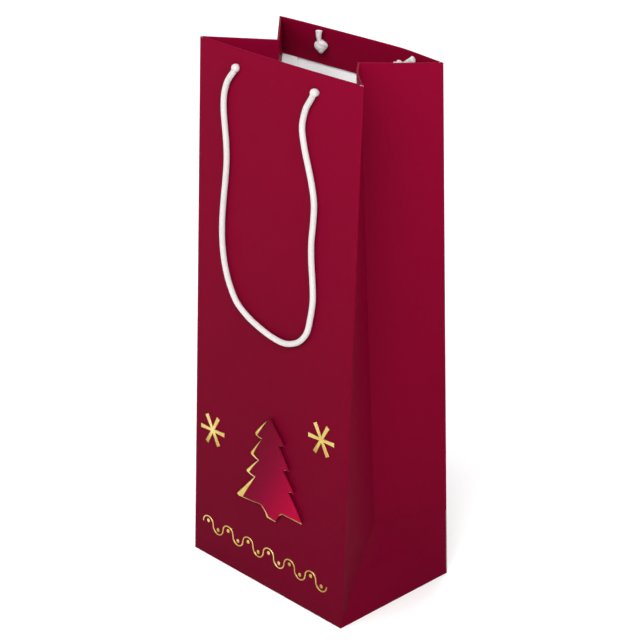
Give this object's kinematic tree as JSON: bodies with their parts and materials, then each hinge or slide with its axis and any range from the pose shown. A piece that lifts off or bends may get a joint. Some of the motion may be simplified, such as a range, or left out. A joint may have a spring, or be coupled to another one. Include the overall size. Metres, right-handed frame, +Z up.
{
  "type": "wine gift bag",
  "caption": "Tall narrow gusseted paper gift bag for a wine bottle, with cord handles, a raised card fir tree, foil stars and a foil border.",
  "frame": {"origin": "middle of the bag's bottom, on the surface that it stands on", "axes": "+Z up, the decorated front faces -Y, +X to the right as seen from the front"},
  "size_m": [0.132, 0.092, 0.33],
  "materials": {
    "red_art_paper": "gloss laminated, white inside",
    "grey_board": "uncoated",
    "gold_foil_card": "gold foil",
    "magenta_card": "satin card",
    "foam_pad": "foam",
    "white_cord": "soft twisted cotton cord"
  },
  "bodies": {
    "base": {"lower_front": "red_art_paper", "lower_back": "red_art_paper", "right_end_triangle": "red_art_paper", "left_end_triangle": "red_art_paper", "right_corner_front": "red_art_paper", "right_corner_back": "red_art_paper", "left_corner_front": "red_art_paper", "left_corner_back": "red_art_paper", "bottom_outer_flap": "red_art_paper", "bottom_inner_flap": "red_art_paper", "bottom_right_flap": "red_art_paper", "bottom_left_flap": "red_art_paper", "bottom_board": "grey_board", "foil_border": "gold_foil_card"},
    "front_panel": {"front_panel": "red_art_paper", "front_hem": "red_art_paper", "front_top_card": "grey_board", "tree_pads": "foam_pad", "tree_backing": "gold_foil_card", "tree_face": "magenta_card", "left_star": "gold_foil_card", "right_star": "gold_foil_card", "front_left_knot": "white_cord", "front_right_knot": "white_cord"},
    "back_panel": {"back_panel": "red_art_paper", "back_hem": "red_art_paper", "back_top_card": "grey_board", "seam_flap": "red_art_paper", "back_left_knot": "white_cord", "back_right_knot": "white_cord"},
    "right_gusset_front": {"right_gusset_front": "red_art_paper", "right_hem_front": "red_art_paper"},
    "right_gusset_back": {"right_gusset_back": "red_art_paper", "right_hem_back": "red_art_paper"},
    "left_gusset_front": {"left_gusset_front": "red_art_paper", "left_hem_front": "red_art_paper"},
    "left_gusset_back": {"left_gusset_back": "red_art_paper", "left_hem_back": "red_art_paper"},
    "front_handle": {"front_handle_cord": "white_cord"},
    "back_handle": {"back_handle_cord": "white_cord"}
  },
  "joints": [
    {"name": "front_lean", "type": "hinge", "parent": "base", "child": "front_panel", "pos_m": [0, -0.04394, 0.046], "axis": [-1, 0, 0], "range_deg": [-1.6, 3.2]},
    {"name": "back_lean", "type": "hinge", "parent": "base", "child": "back_panel", "pos_m": [0, 0.04394, 0.046], "axis": [1, 0, 0], "range_deg": [-1.6, 3.2]},
    {"name": "right_front_fold", "type": "hinge", "parent": "front_panel", "child": "right_gusset_front", "pos_m": [0.0656, -0.04304, 0.046], "axis": [0, 0.0448, 0.999], "range_deg": [-12.52, 24.84]},
    {"name": "right_back_fold", "type": "hinge", "parent": "back_panel", "child": "right_gusset_back", "pos_m": [0.0656, 0.04304, 0.046], "axis": [0, 0.0448, -0.999], "range_deg": [-12.52, 24.84]},
    {"name": "left_front_fold", "type": "hinge", "parent": "front_panel", "child": "left_gusset_front", "pos_m": [-0.0656, -0.04304, 0.046], "axis": [0, -0.0448, -0.999], "range_deg": [-12.52, 24.84]},
    {"name": "left_back_fold", "type": "hinge", "parent": "back_panel", "child": "left_gusset_back", "pos_m": [-0.0656, 0.04304, 0.046], "axis": [0, -0.0448, 0.999], "range_deg": [-12.52, 24.84]},
    {"name": "front_handle_swing", "type": "hinge", "parent": "front_panel", "child": "front_handle", "pos_m": [0, -0.03479, 0.31914], "axis": [-1, 0, 0], "range_deg": [0, 175]},
    {"name": "back_handle_swing", "type": "hinge", "parent": "back_panel", "child": "back_handle", "pos_m": [0, 0.03769, 0.31927], "axis": [1, 0, 0], "range_deg": [0, 175]}
  ],
  "couplings": [
    {"joint": "back_lean", "follows": "front_lean", "ratio": 1},
    {"joint": "right_front_fold", "follows": "front_lean", "ratio": 7.7},
    {"joint": "right_back_fold", "follows": "front_lean", "ratio": 7.7},
    {"joint": "left_front_fold", "follows": "front_lean", "ratio": 7.7},
    {"joint": "left_back_fold", "follows": "front_lean", "ratio": 7.7}
  ]
}
